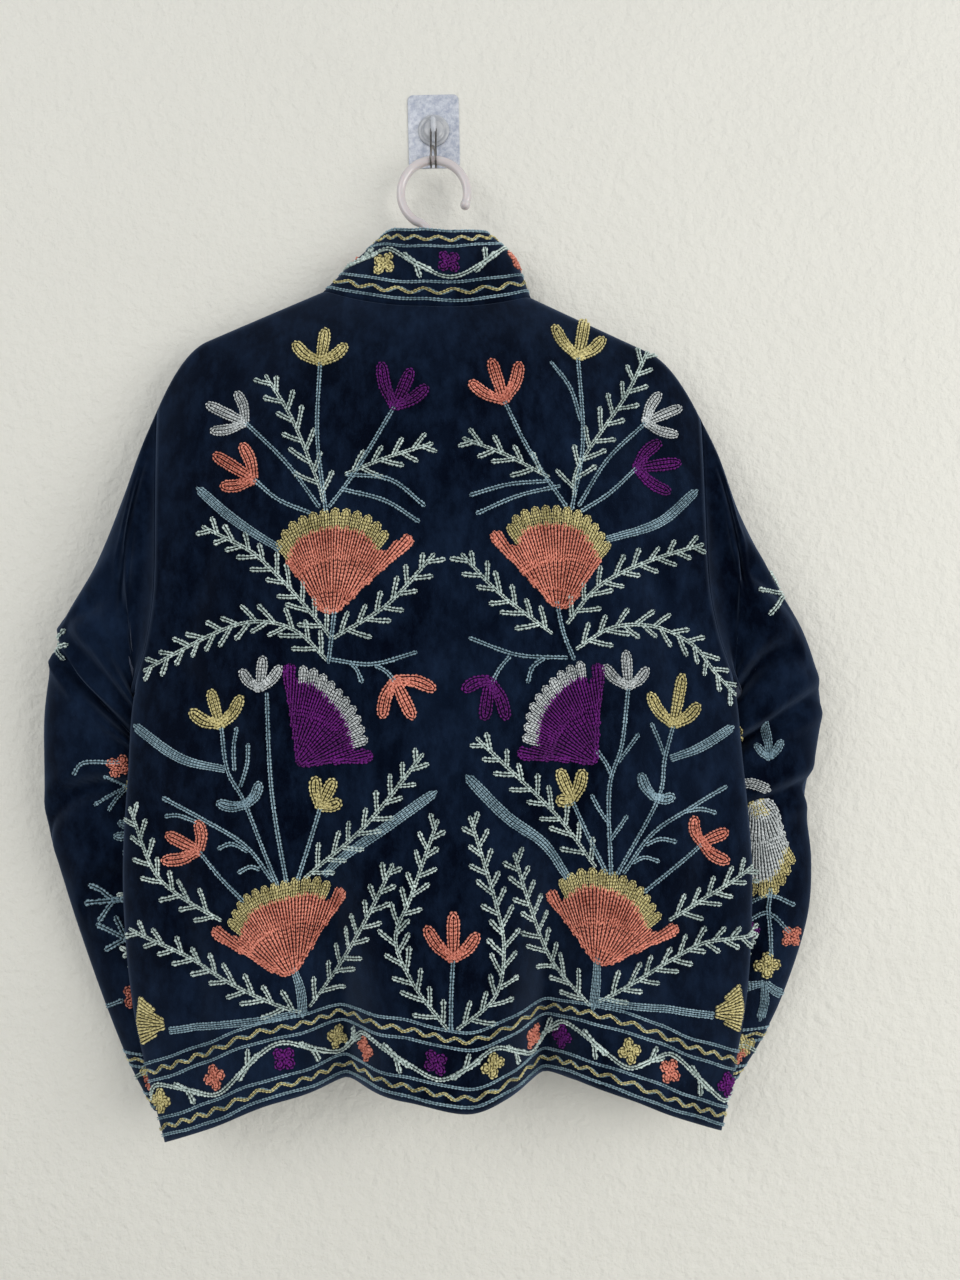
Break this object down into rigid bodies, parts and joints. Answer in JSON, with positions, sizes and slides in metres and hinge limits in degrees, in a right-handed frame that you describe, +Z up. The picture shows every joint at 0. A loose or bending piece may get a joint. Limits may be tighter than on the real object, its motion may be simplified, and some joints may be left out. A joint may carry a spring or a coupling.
{
  "type": "embroidered velvet jacket on a hanger and stick-on wall hook",
  "caption": "Velvet stand-collar jacket with open fronts and long sleeves, hung back outwards on a plastic ring hanger from a stick-on wall hook.",
  "frame": {"origin": "middle of the hook pad's back face, on the wall", "axes": "+Z up, +Y into the wall, +X to the right as seen from the room; the jacket's back faces -Y"},
  "size_m": [0.6767, 0.099, 0.91],
  "materials": {
    "velvet": "blue-black cotton velvet with a soft pile, chain-stitched in cotton",
    "hanger_plastic": "moulded, semi-gloss, pinkish white",
    "clear_plastic": "clear and glossy",
    "wire": "drawn wire, dull"
  },
  "bodies": {
    "root": {"back_shoulder_left": "velvet", "back_shoulder_middle": "velvet", "back_shoulder_right": "velvet", "back_chest_left": "velvet", "back_chest_middle": "velvet", "back_chest_right": "velvet", "back_waist_left": "velvet", "back_waist_middle": "velvet", "back_waist_right": "velvet", "back_skirt_left": "velvet", "back_skirt_middle": "velvet", "back_skirt_right": "velvet", "front_right_upper": "velvet", "front_right_lower": "velvet", "front_left_upper": "velvet", "front_left_lower": "velvet", "sleeve_right": "velvet", "sleeve_left": "velvet", "collar": "velvet", "hanger": "hanger_plastic", "hook_pad": "clear_plastic", "hook_wire": "wire"}
  },
  "joints": []
}
